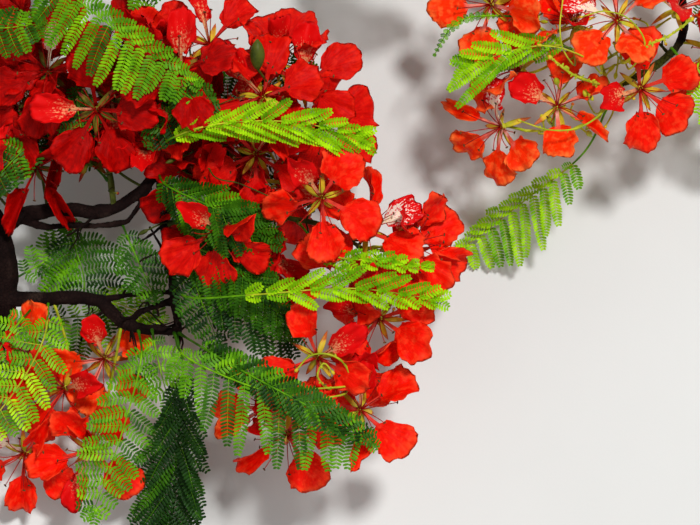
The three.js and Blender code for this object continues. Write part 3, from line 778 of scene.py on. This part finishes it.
def rounded(names, voxel, rounds):
    """Solids of the frame with the racemes' roots in one fine skin, smoothed until the forks have fillets"""
    gathered = bmesh.new()
    for name in names:
        gathered.from_mesh(frame["nodes"][name].data)
        if name in ROOTS:
            add_root(gathered, name)
    mesh = bpy.data.meshes.new("joined")
    gathered.to_mesh(mesh)
    gathered.free()
    thing = added("rounding", mesh)
    wrap = thing.modifiers.new("wrap", "REMESH")
    wrap.mode = "VOXEL"
    wrap.voxel_size = voxel * MM
    ease = thing.modifiers.new("ease", "SMOOTH")
    ease.factor = 0.5
    ease.iterations = rounds
    result = bpy.data.meshes.new_from_object(thing.evaluated_get(bpy.context.evaluated_depsgraph_get()))
    bpy.data.objects.remove(thing)
    return result


def roughen(mesh, sway, knobs, cracks):
    """Bends a mesh's limbs a little, raises knobs and cracks on them, and leaves the sawn end flat"""
    points = np.array([vertex.co for vertex in mesh.vertices])
    normals = np.array([vertex.normal for vertex in mesh.vertices])
    sawn = (points[:, 1] < SAWN_END[1] + 2 * MM) & (normals[:, 1] < -0.6)
    noise.seed_set(1)  # or else the clock seeds it
    swayed = np.array([noise.noise_vector(vertex.co * SWAY_SCALE) for vertex in mesh.vertices]) * [1, 1, 0]
    knobbed = np.array([noise.noise(vertex.co * KNOB_SCALE) for vertex in mesh.vertices])
    cracked = np.array([noise.noise(vertex.co * CRACK_SCALE) for vertex in mesh.vertices])
    heights = knobs * knobbed + cracks * (0.5 - np.abs(cracked))
    heights[sawn] = 0
    away = np.clip((points[:, 1] - SAWN_END[1]) / 0.05, 0, 1)
    points += (normals * heights[:, None] + swayed * (sway * away)[:, None]) * MM
    points[sawn, 1] = SAWN_END[1]
    points[:, 2] = np.maximum(points[:, 2], 0)
    mesh.vertices.foreach_set("co", points.astype(np.float32).ravel())
    for face in mesh.polygons:
        face.material_index = int(all(sawn[corner] for corner in face.vertices))
    mesh.shade_smooth()


def build_limbs(name, nodes, measures, slot, *finishes):
    voxel, rounds, *relief = measures
    mesh = rounded(nodes, voxel, rounds)
    mesh.materials.clear()
    for finish in finishes:
        mesh.materials.append(FINISHES[finish])
    roughen(mesh, *relief)
    settle(added(name, mesh), slot, *nodes)


def grow_twig(skin, start, way, length, radius, forks, rng):
    """A crooked twig that tapers to its tip and forks on the way"""
    path = [start]
    for step in range(TWIG_STEPS):
        way = unit(way + rng.normal(0, 0.2, 3))
        path.append(path[-1] + way * length / TWIG_STEPS)
    path = above_floor(np.array(path), radius)
    radii = np.linspace(radius, radius * 0.45, len(path))
    radii[-1] = radius * 0.7
    skin.tube(smooth_path(path, 14), np.interp(np.linspace(0, TWIG_STEPS, 14), range(len(path)), radii), 6)
    for fork in range(forks):
        branch_way = unit(way + rng.normal(0, 0.7, 3))
        grow_twig(skin, path[2 + fork], branch_way, length * 0.55, radius * 0.6, forks - 1, rng)


def build_twigs():
    twigs = Skin()
    for name, count in TWIGS.items():
        rng = seeded("twigs on " + name)
        for start, normal in spots_on(name, count, rng):
            way = unit(normal + rng.normal(0, 0.35, 3) + UP * 0.1)
            length, radius = rng.uniform(*TWIG_LENGTHS), rng.uniform(*TWIG_RADII)
            grow_twig(twigs, start - normal * 1.5, way, length, radius, 1, rng)
    settle(twigs.piece("twigs", "bark"), "bark")


def add_bud(skin, base, way, length, width, slot):
    """A closed bud, egg-shaped and pointed"""
    shares = np.linspace(0, 1, 9)
    radii = width / 2 * np.sin(math.pi * np.clip(shares * 0.9 + 0.08, 0, 1)) ** 0.7
    skin.tube(base + np.outer(shares * length, way), radii, 10, slot)


def add_tip(skin, path, length, width, slot):
    """A bud or a swelling on the end of a stalk"""
    way = unit(path[-1] - path[-2])
    add_bud(skin, path[-1] - way, way, length, width, slot)


def stalk_slot(on):
    """The crown's stalks take the green darkened as painted shade, the others yellow-green. The next slot is
    for scars and swollen tips.
    """
    return 2 if on in CROWN_RACEMES else 0


def add_loose_stalk(skin, start, normal, slot, rng):
    """A short bowed stalk with a bud, or with the scar of a fallen flower"""
    way = unit(normal * 0.8 + UP * 0.4 + rng.normal(0, 0.35, 3))
    reach = rng.uniform(*LOOSE_STALK_LENGTHS)
    bow = unit(np.cross(way, rng.normal(0, 1, 3))) * reach * 0.3
    shares = np.linspace(0, 1, 10)[:, None]
    path = above_floor(start - normal * 0.5 + way * reach * shares + bow * np.sin(math.pi * shares), 1.6)
    skin.tube(path, np.linspace(1.0, 0.9, 10), 6, slot)
    if rng.random() < BUD_SHARE:
        add_tip(skin, path, rng.uniform(7, 15), rng.uniform(4, 7), slot)
    else:
        add_tip(skin, path, 4, 3.4, slot + 1)


def add_open_stalk(skin, on, radius, places, rng):
    """A bare flower stalk through the places that it passes, with an uneven skin and a swollen tip"""
    path = smooth_path([foot_on(on, places[0]), *places], 40)
    slot = stalk_slot(on)
    skin.tube(path, radius * np.linspace(1.15, 0.7, 40) * rng.uniform(0.85, 1.15, 40), 7, slot)
    add_tip(skin, path, 6, 2.8 * radius, slot + 1)
    for start in path[6::1 if radius > KNOBBED_RADIUS else 7]:
        way = unit(rng.normal(0, 1, 3) + UP * 0.6)
        add_bud(skin, start, way, rng.uniform(2, 3.4) * radius, rng.uniform(1.1, 1.9) * radius, slot)


def add_green_bud(skin, on):
    """The one large bud that stands over the crown on its stem"""
    bud = np.array(GREEN_BUD)
    base = foot_on(on, bud)
    stem = unit(bud - base)
    skin.tube(base + np.outer(np.linspace(0, 1, 8), bud - base), 1.2, 7, stalk_slot(on))
    add_bud(skin, bud - stem, unit(stem * 0.3 + [0.1, 0.9, 0.1]), 30, 15, stalk_slot(on))


def build_flower_stalks():
    """Stalks on the racemes whose petals have fallen, scars of others, and young buds"""
    stalks = Skin()
    for name, count in LOOSE_STALKS.items():
        rng = seeded("stalks on " + name)
        for start, normal in spots_on(name, count, rng):
            add_loose_stalk(stalks, start, normal, stalk_slot(name), rng)
    add_green_bud(stalks, "crown_raceme_right")
    rows = [(name, *row) for name, group in OPEN_STALKS.items() for row in group]
    for number, row in enumerate(rows):
        add_open_stalk(stalks, *row, seeded(f"open stalk {number}"))
    settle(stalks.piece("loose_stalks", "stalk_green", "sepal", "stalk_painted_shade", "sepal_painted_shade"), "green_stalk")


# Leaves

LEAFLET_POINTS = np.array([
    (0, 0, 0), (0.12, 0.36, 0.1), (0.5, 0.5, 0.14), (0.86, 0.38, 0.1), (1, 0, 0),
    (0.86, -0.38, 0.1), (0.5, -0.5, 0.14), (0.12, -0.36, 0.1), (0.5, 0, 0),
])
LEAFLET_FACES = np.array([(0, 8, 2, 1), (8, 4, 3, 2), (0, 7, 6, 8), (8, 6, 5, 4)])


def add_leaflets(skin, feet, ways, size, lift, sign, slot, rng):
    """One of the two rows of leaflets on a rib. They are longest in its middle."""
    count = len(feet)
    across = unit(np.cross(UP, ways)) * sign
    lean = rng.normal(LEAFLET_LEAN, 0.04, (count, 1))
    out = unit(across + ways * lean + UP * (lift + rng.normal(0, 0.06, (count, 1))))
    wide = unit(ways - out * np.sum(ways * out, axis=1, keepdims=True))
    shares = (np.arange(count) + 0.7) / count
    length = LEAFLET_LENGTH * size * (1 - 0.45 * np.abs(2 * shares - 0.9) ** 3)
    length *= rng.uniform(0.94, 1.04, count)
    width = np.full(count, LEAFLET_WIDTH * size)
    scaled = LEAFLET_POINTS * np.stack([length, width, width], axis=1)[:, None]
    points = feet[:, None] + scaled @ np.stack([out, wide, np.cross(out, wide) * sign], axis=1)
    faces = LEAFLET_FACES + np.arange(count)[:, None, None] * len(LEAFLET_POINTS)
    skin.add(above_floor(points), [faces.reshape(-1, 4)[:, ::sign]], slot)


def add_rib(blades, ribs, start, way, reach, curl, lift, slot, rng):
    """One rib of a leaf with its two rows of leaflets, bent back by its curl at the tip"""
    shares = np.linspace(0, 1, RIB_STEPS)
    bend = unit(np.cross(UP, way)) * rng.normal(0, 0.06)
    hang = bend - UP * rng.uniform(0.02, 0.16) - curl
    path = start + reach * (np.outer(shares, way) + np.outer(shares ** 2, hang))
    ribs.tube(path, np.linspace(*RIB_RADII, RIB_STEPS), 3)
    size = min(1, reach / SHORT_RIB)
    count = max(4, round(reach / (LEAFLET_STEP * size) * (1 + 0.4 * lift)))
    feet = picked(path, shares, (np.arange(count) + 0.7) / count)
    lift += rng.uniform(-0.2, 0.25)
    for sign in (1, -1):
        add_leaflets(blades, feet, unit(np.gradient(feet, axis=0)), size, lift, sign, slot, rng)


def build_leaf(name, path, bare, left, right, step, green, lift=0.2, curl=0, on=None):
    """A twice-divided leaf: the path of its stalk and the share of it that is bare, how long the ribs to the
    left and right are and how many degrees they lean to the tip, how far apart they stand, the leaf's green,
    how far its leaflets stand up for each unit outwards, how far the ribs curl back as a share of their
    length, and what carries a leaf without a solid of its own"""
    rng = seeded(name)
    blades, ribs = Skin(), Skin()
    stalk = smooth_path([foot_on(on, path[0]), *path[1:]] if on else path, 60)
    length = np.linalg.norm(np.diff(stalk, axis=0), axis=1).sum()
    radii = np.linspace(*LEAF_STALK_RADII, len(stalk))
    radii[:len(LEAF_FOOT_RADII)] = LEAF_FOOT_RADII
    leafy = round(bare * len(stalk))
    for slot, part in ((1, slice(0, leafy + 1)), (0, slice(leafy, None))):
        ribs.tube(stalk[part], radii[part], 6, slot)
    level_ways = np.gradient(stalk, axis=0) * [1, 1, 0]
    for share in np.arange(bare, 1, step / length):
        spot = share * (len(stalk) - 1)
        start = picked(stalk, np.arange(len(stalk)), spot)
        along = unit(level_ways[round(spot)])
        fullness = np.interp((share - bare) / (1 - bare), FROND_PLACES, FROND_REACHES)
        for sign, (reach, lean) in ((1, left), (-1, right)):
            way = turned(np.cross(UP, along) * sign, along, math.radians(lean + rng.normal(0, 4)))
            slot = int(rng.choice(3, p=SPRAY_ODDS))
            reach = reach * fullness * rng.uniform(0.9, 1.06)
            add_rib(blades, ribs, start, way, reach, along * curl, lift, slot, rng)
    for sign in (1, -1):
        way = unit(along + np.cross(UP, along) * sign * 0.35)
        reach = FROND_TIP * min(left[0], right[0])
        add_rib(blades, ribs, stalk[-1], way, reach, along * curl, lift, 0, rng)
    own = LIT_AND_SHADED_GREENS.index(green)
    # The leaf's green with the next copies in painted shade and in painted sunlight
    greens = ["leaf_" + LIT_AND_SHADED_GREENS[index] for index in (own, max(own - 1, 0), min(own + 1, len(LIT_AND_SHADED_GREENS) - 1))]
    nodes = [] if on else [name]
    settle(blades.piece(name + "_leaflets", *greens), "leaf", *nodes)
    rib_greens = RIB_GREENS.get(green, ("leaf_fresh", "leaf_deep"))
    settle(ribs.piece(name + "_ribs", *rib_greens), "green_stalk", *nodes)


# Blooms

def waves(x, y, longest, shortest, count, rng):
    """A crumpled surface: the heights of crossing waves, each in proportion to its length"""
    heights = np.zeros_like(x)
    for wavelength in np.geomspace(longest, shortest, count):
        turn, phase = rng.uniform(0, 2 * math.pi, 2)
        heights += wavelength * np.sin(turned(x, y, turn) * 2 * math.pi / wavelength + phase)
    return heights


def petal_grid(length, half_width, fold, bend, rng):
    """A petal on its back: its grid of points and the two values of each. Its round blade is widest towards
    its tip, or towards its claw when it is folded up."""
    across = np.linspace(-1, 1, PETAL_COLUMNS)
    widest = rng.uniform(0, 0.28) if fold < 1 else -0.3
    phase = rng.uniform(0, 2 * math.pi, 6)
    margin = across * MARGIN_TURN
    lobes = 1 + 0.035 * np.sin(3 * margin + phase[0]) + 0.025 * np.sin(7 * margin + phase[1])
    claw = np.linspace(0, 1, CLAW_ROWS, endpoint=False)[:, None]
    out = np.linspace(0, 1, BLADE_ROWS)[:, None] ** 0.75
    lobes = lobes + rng.normal(0, MARGIN_TEETH, PETAL_COLUMNS) * out ** 5
    claw_x = 2 + (CLAW_LENGTH - 2) * claw + 0 * across
    claw_y = CLAW_HALF_WIDTH * (1.2 - 0.6 * claw + 0.9 * claw ** 2) * across
    blade_x = CLAW_LENGTH + (length - CLAW_LENGTH) / 2 * (1 + np.cos(margin) * lobes) * out
    edge_y = half_width * np.sin(margin) * (1 + widest * np.cos(margin)) * lobes
    blade_y = 1.5 * CLAW_HALF_WIDTH * across * (1 - out) + edge_y * out
    x = np.vstack([claw_x, blade_x])
    y = np.vstack([claw_y, blade_y])
    out = np.vstack([claw * 0, out])
    ruffle = np.sin(9 * across + phase[3]) + 0.7 * np.sin(19 * across + phase[4])
    z = 2.5 * np.sin(math.pi * np.minimum(x / length, 1)) + RUFFLE_HEIGHT * ruffle * out ** 3
    z += CRUMPLE * waves(x, y, 30, 8, 6, rng) * out
    z += math.sin(fold) * (np.hypot(y, FOLD_RADIUS) - FOLD_RADIUS)
    y = y * math.cos(fold)
    straight = CLAW_LENGTH * 0.7
    turn = np.maximum(x - straight, 0) / length * bend
    radius = length / bend
    x = np.minimum(x, straight) + (radius - z) * np.sin(turn)
    z = radius * (1 - np.cos(turn)) + z * np.cos(turn)
    along = np.vstack([CLAW_SHARE * claw, CLAW_SHARE + (1 - CLAW_SHARE) * out[CLAW_ROWS:]])
    return np.stack([x, y, z], axis=-1), np.stack([along + 0 * x, across + 0 * x], axis=-1)


def laid(grid, centre, way, aside):
    """A grid of points set down at a place, with its x along a way and its y to one side"""
    return above_floor(centre + grid @ np.stack([way, aside, np.cross(way, aside)]))


def add_petal(skins, centre, way, facing, upper, folded, rng):
    """A petal that is folded up or not, or by chance where folded is None"""
    size = SIZES[skins.red]
    length = PETAL_LENGTH * size * rng.uniform(0.9, 1.03)
    half_width = (UPPER_BLADE_HALF_WIDTH if upper else BLADE_HALF_WIDTH) * size * rng.uniform(0.86, 1.06)
    fold = abs(rng.normal(0, 0.3)) + 0.35 * upper
    folded_by_chance = folded is None and rng.random() < FOLDED_SHARE * (not upper)
    if folded or folded_by_chance:
        fold = rng.uniform(1, 1.3)
        length *= 1.08
    bend = rng.normal(-0.45, 0.45)
    grid, values = petal_grid(length, half_width, min(fold, 1.3), bend, rng)
    across = unit(np.cross(facing, way))
    aside = turned(across, np.cross(way, across), rng.normal(0, 0.3))
    skins.petals.sheet(laid(grid, centre, way, aside), PETAL_THICKNESS, int(upper), values)


def add_sepal(skin, centre, way, facing, rng):
    """A pointed sepal that curls back behind the petals"""
    shares = np.linspace(0, 1, 9)[:, None]
    across = np.linspace(-1, 1, 5)
    length = SEPAL_LENGTH * rng.uniform(0.9, 1.1)
    half = SEPAL_HALF_WIDTH * np.sin(math.pi * np.minimum(0.22 + 0.78 * shares, 0.995)) ** 0.8
    x = 2 + length * shares + 0 * across
    y = half * across
    z = length * rng.uniform(-0.45, 0.2) * shares ** 2 + 0.3 * half * across ** 2
    values = np.stack([shares + 0 * x, across + 0 * x], axis=-1)
    grid = laid(np.stack([x, y, z], axis=-1), centre, way, unit(np.cross(facing, way)))
    skin.sheet(grid, SEPAL_THICKNESS, 0, values)


def add_stalk(skin, on, centre, facing):
    """The bowed stalk from the calyx back to what carries it"""
    foot = foot_on(on, centre)
    start = centre - facing * 5
    back = centre - facing * PEDICEL_BOW * np.linalg.norm(foot - centre)
    foot = foot + unit(foot - back) * 2
    shares = np.linspace(0, 1, 16)[:, None]
    path = start * (1 - shares) ** 2 + back * 2 * shares * (1 - shares) + foot * shares ** 2
    skin.tube(path, np.linspace(PEDICEL_RADIUS, PEDICEL_RADIUS * 1.2, 16), 7, 1)


def add_stamens(skin, centre, facing, sideways, headways, rng):
    shares = np.linspace(0, 1, 9)[:, None]
    bead_places, bead_radii = np.transpose(ANTHER)
    for index in range(STAMENS):
        away = turned(sideways, headways, index * 2 * math.pi / STAMENS + rng.normal(0, 0.15))
        way = unit(facing + away * rng.uniform(0.25, 0.6))
        length = STAMEN_LENGTH * rng.uniform(0.75, 1.1)
        path = centre + way * length * shares + away * 12 * shares ** 2 - facing * 8 * shares ** 3
        skin.tube(path, np.linspace(*STAMEN_RADII, 9), 5)
        lie = unit(np.cross(way, away) + 0.3 * away)
        skin.tube(path[-1] + np.outer(bead_places, lie), bead_radii, 6, 1)


def axes(faces):
    """The way that a bloom faces, and two ways square to it, the first of them level"""
    bearing, rise = (math.radians(angle) for angle in faces)
    facing = heading(bearing, rise)
    sideways = heading(bearing + math.pi / 2, 0)
    return facing, sideways, np.cross(facing, sideways)


class BloomSkins:
    """What one bloom or several are made of, each kind apart"""

    def __init__(self, red):
        self.red = red
        self.petals, self.green, self.threads = Skin(), Skin(), Skin()

    def add(self, on, calyx, faces, ways, folded, rng):
        """A bloom with its petals on these ways, the first of them the streaked upper one"""
        facing, sideways, headways = axes(faces)
        centre = np.array(calyx, float)
        for index, way in enumerate(ways):
            add_petal(self, centre, way, facing, index == 0, folded and index in folded, rng)
        turns = sorted(math.atan2(way.dot(headways), way.dot(sideways)) for way in ways)
        for here, following in zip(turns, turns[1:] + [turns[0] + 2 * math.pi]):
            between = turned(sideways, headways, (here + following) / 2)
            add_sepal(self.green, centre, unit(between + facing * rng.uniform(-0.6, 0.15)), facing, rng)
        cup_places, cup_radii = np.transpose(CUP)
        self.green.tube(centre + np.outer(cup_places, facing), cup_radii, 10, 0, (0.3, 0))
        add_stalk(self.green, on, centre, facing)
        add_stamens(self.threads, centre, facing, sideways, headways, rng)

    def pieces(self, name, upper, *nodes):
        # Blooms in the deepest painted shade take the calyx and stalk greens darkened as painted shade
        greens = ("sepal_painted_shade", "stalk_painted_shade") if self.red == "crimson" else ("sepal", "stalk_green")
        settle(self.petals.piece(name + "_petals", "petal_" + self.red, "petal_" + upper), "petal", *nodes)
        settle(self.green.piece(name + "_calyx", *greens), "green_stalk", *nodes)
        settle(self.threads.piece(name + "_stamens", "stamen_red", "anther"), "petal", *nodes)


def petal_way(bearing, opening, facing):
    """The way of a petal with this bearing that stands open by this angle from the way its bloom faces"""
    level = facing.dot(heading(bearing, 0))
    share = min(math.cos(opening) / math.hypot(level, facing[2]), 1)
    return heading(bearing, math.asin(share) - math.atan2(level, facing[2]))


def build_bloom(name, on, calyx, faces, petals, red, upper="upper_red", folded=None):
    """A bloom: what carries it, its calyx, the bearing and rise of the way it faces, the bearings of its
    petals with the upper one first, its red, the upper one's finish, and which petals are folded up, or None
    where that is left to chance"""
    rng = seeded(name)
    facing = axes(faces)[0]
    ways = []
    for index, degrees in enumerate(petals):
        opening = (PETAL_OPENING if index else UPPER_PETAL_OPENING) + rng.normal(0, 0.1)
        ways.append(petal_way(math.radians(degrees), opening, facing))
    skins = BloomSkins(red)
    skins.add(on, calyx, faces, ways, folded, rng)
    skins.pieces(name, upper, name)


def build_blossoms():
    """The blossoms that fill the sprays, gathered by their red"""
    gathered = {}
    rows = [(name, *row) for name, group in BLOSSOMS.items() for row in group]
    for number, (on, calyx, faces, opened, first_turn, red) in enumerate(rows):
        rng = seeded(f"blossom {number}")
        facing, sideways, headways = axes(faces)
        ways = []
        for index in range(5):
            turn = math.radians(first_turn + 72 * index) + rng.normal(0, 0.12)
            opening = math.radians(opened * (1 if index else 0.8)) + rng.normal(0, 0.12)
            ways.append(turned(facing, turned(sideways, headways, turn), opening))
        gathered.setdefault(red, BloomSkins(red)).add(on, calyx, faces, ways, None, rng)
    for red, skins in gathered.items():
        skins.pieces(red + "_blossoms", "upper_red")


# Floor, light and camera

def build_floor():
    """A round floor with a raised rim, so that a low view meets no end of it"""
    shares = np.linspace(0, 1, FLOOR_RINGS)[:, None]
    radii = np.vstack([[1], FLOOR_FLAT + (FLOOR_RADIUS - FLOOR_FLAT) * shares])
    heights = np.vstack([[0], FLOOR_RIM * shares ** 2])
    turns = np.linspace(0, 2 * math.pi, FLOOR_SIDES)
    rings = np.stack([radii * np.cos(turns), radii * np.sin(turns), heights + 0 * turns], axis=-1)
    skin = Skin()
    skin.add(measured((0, 0, 0)) + rings, [quads(np.arange(rings[..., 0].size).reshape(-1, FLOOR_SIDES))])
    floor = skin.piece("floor", "floor_matt")
    floor.location.z = -FLOOR_DROP * MM


def build_lights():
    world = bpy.data.worlds.new("studio")
    world.use_nodes = True
    background = world.node_tree.nodes["Background"]
    background.inputs["Color"].default_value = (1, 1, 1, 1)
    background.inputs["Strength"].default_value = SKY_STRENGTH
    bpy.context.scene.world = world
    for name, (way, strength, across) in LIGHTS.items():
        lamp = bpy.data.lights.new(name, "SUN")
        lamp.energy = strength
        lamp.angle = math.radians(across)
        thing = added(name, lamp)
        thing.rotation_mode = "QUATERNION"
        thing.rotation_quaternion = Vector(way).to_track_quat("Z", "Y")


def build_camera():
    lens = bpy.data.cameras.new("camera")
    lens.sensor_width = 36
    lens.lens = lens.sensor_width * CAMERA_HEIGHT / PICTURE_WIDTH
    lens.clip_end = 100
    camera = added("camera", lens)
    camera.location = place(PICTURE_MIDDLE + UP * CAMERA_HEIGHT)
    bpy.context.scene.camera = camera
    bpy.context.scene.view_settings.view_transform = "Standard"


build_floor()
build_lights()
build_camera()
build_limbs("limbs", BOUGHS, LIMB_SKIN, "bark", "bark", "sawn_wood")
# The crown's stalks take a green darkened as painted shade
build_limbs("crown_stalks", CROWN_RACEMES, STALK_SKIN, "green_stalk", "stalk_painted_shade")
build_limbs("sunlit_stalks", SUNLIT_RACEMES, STALK_SKIN, "green_stalk", "stalk_green")
build_twigs()
build_flower_stalks()
for leaf_name, leaf_row in LEAVES.items():
    build_leaf(leaf_name, *leaf_row)
for carrier, group in SPRIGS.items():
    for leaf_name, leaf_row in group.items():
        build_leaf(leaf_name, *sprig(carrier, *leaf_row))
for carrier, group in BLOOMS.items():
    for bloom_name, bloom_row in group.items():
        build_bloom("bloom_" + bloom_name, carrier, *bloom_row)
build_blossoms()
